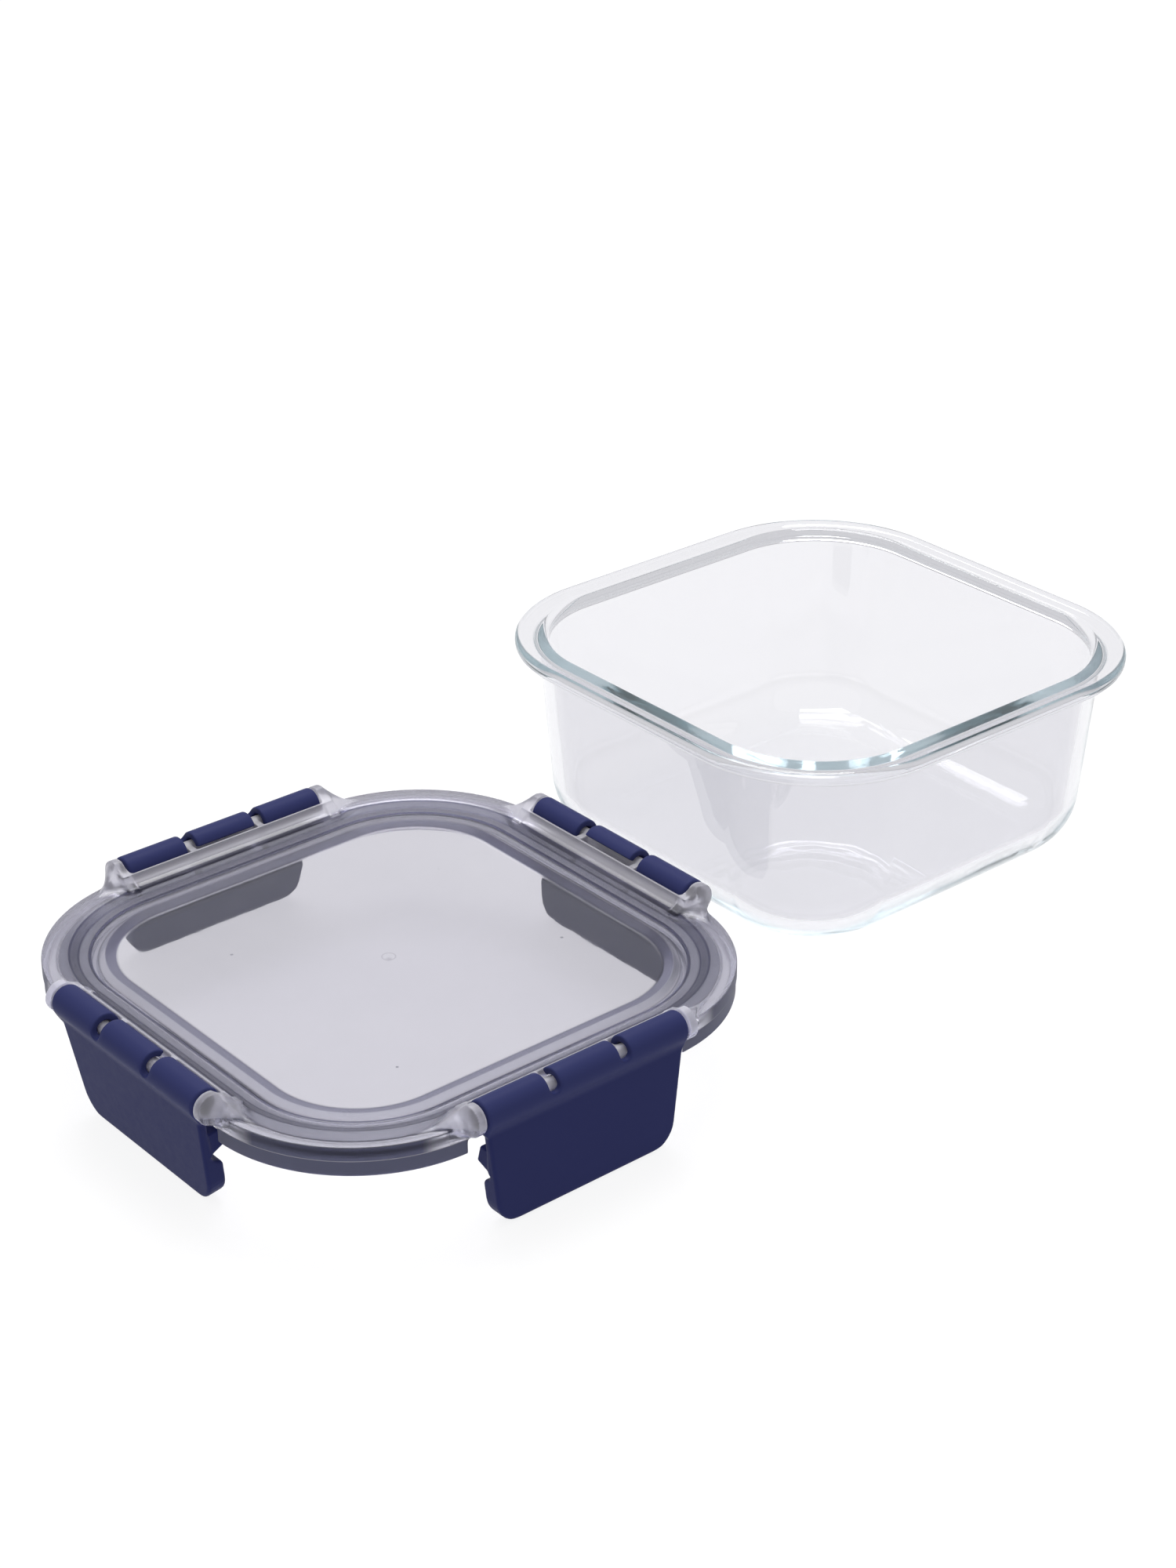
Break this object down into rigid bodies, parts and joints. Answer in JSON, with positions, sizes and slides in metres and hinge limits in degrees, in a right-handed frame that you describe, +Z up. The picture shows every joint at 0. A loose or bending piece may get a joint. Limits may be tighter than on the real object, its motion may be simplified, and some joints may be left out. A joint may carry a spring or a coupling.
{
  "type": "food storage container",
  "caption": "Square glass food container with its clear snap lid beside it, the lid standing on its hinged side latches.",
  "frame": {"origin": "middle of the bowl's flat underside", "axes": "+Z up, +X from the lid to the bowl and square to the bowl's side, +Y completing a right-handed frame"},
  "size_m": [0.328, 0.1757, 0.063],
  "materials": {
    "glass_bowl": "clear polished glass",
    "lid_shell": "clear glossy moulding with a faint lavender grey tint",
    "silicone_gasket": "milky soft silicone",
    "latch": "satin navy blue"
  },
  "bodies": {
    "bowl": {"glass_bowl": "glass_bowl"},
    "lid": {"lid_shell": "lid_shell", "silicone_gasket": "silicone_gasket"},
    "back_latch": {"latch_back": "latch"},
    "left_latch": {"latch_left": "latch"},
    "front_latch": {"latch_front": "latch"},
    "right_latch": {"latch_right": "latch"}
  },
  "joints": [
    {"name": "lid_lift", "type": "slide", "parent": "bowl", "child": "lid", "axis": [0, 0, 1], "range_m": [0, 0.12]},
    {"name": "back_latch_hinge", "type": "hinge", "parent": "lid", "child": "back_latch", "pos_m": [-0.171, 0.059, 0.0325], "axis": [1, 0, 0], "range_deg": [-21, 103]},
    {"name": "left_latch_hinge", "type": "hinge", "parent": "lid", "child": "left_latch", "pos_m": [-0.2487, -0.0187, 0.0325], "axis": [0, 1, 0], "range_deg": [-0.5, 123.5]},
    {"name": "front_latch_hinge", "type": "hinge", "parent": "lid", "child": "front_latch", "pos_m": [-0.171, -0.0964, 0.0325], "axis": [-1, 0, 0], "range_deg": [-9, 115]},
    {"name": "right_latch_hinge", "type": "hinge", "parent": "lid", "child": "right_latch", "pos_m": [-0.0933, -0.0187, 0.0325], "axis": [0, -1, 0], "range_deg": [-6, 62]}
  ]
}
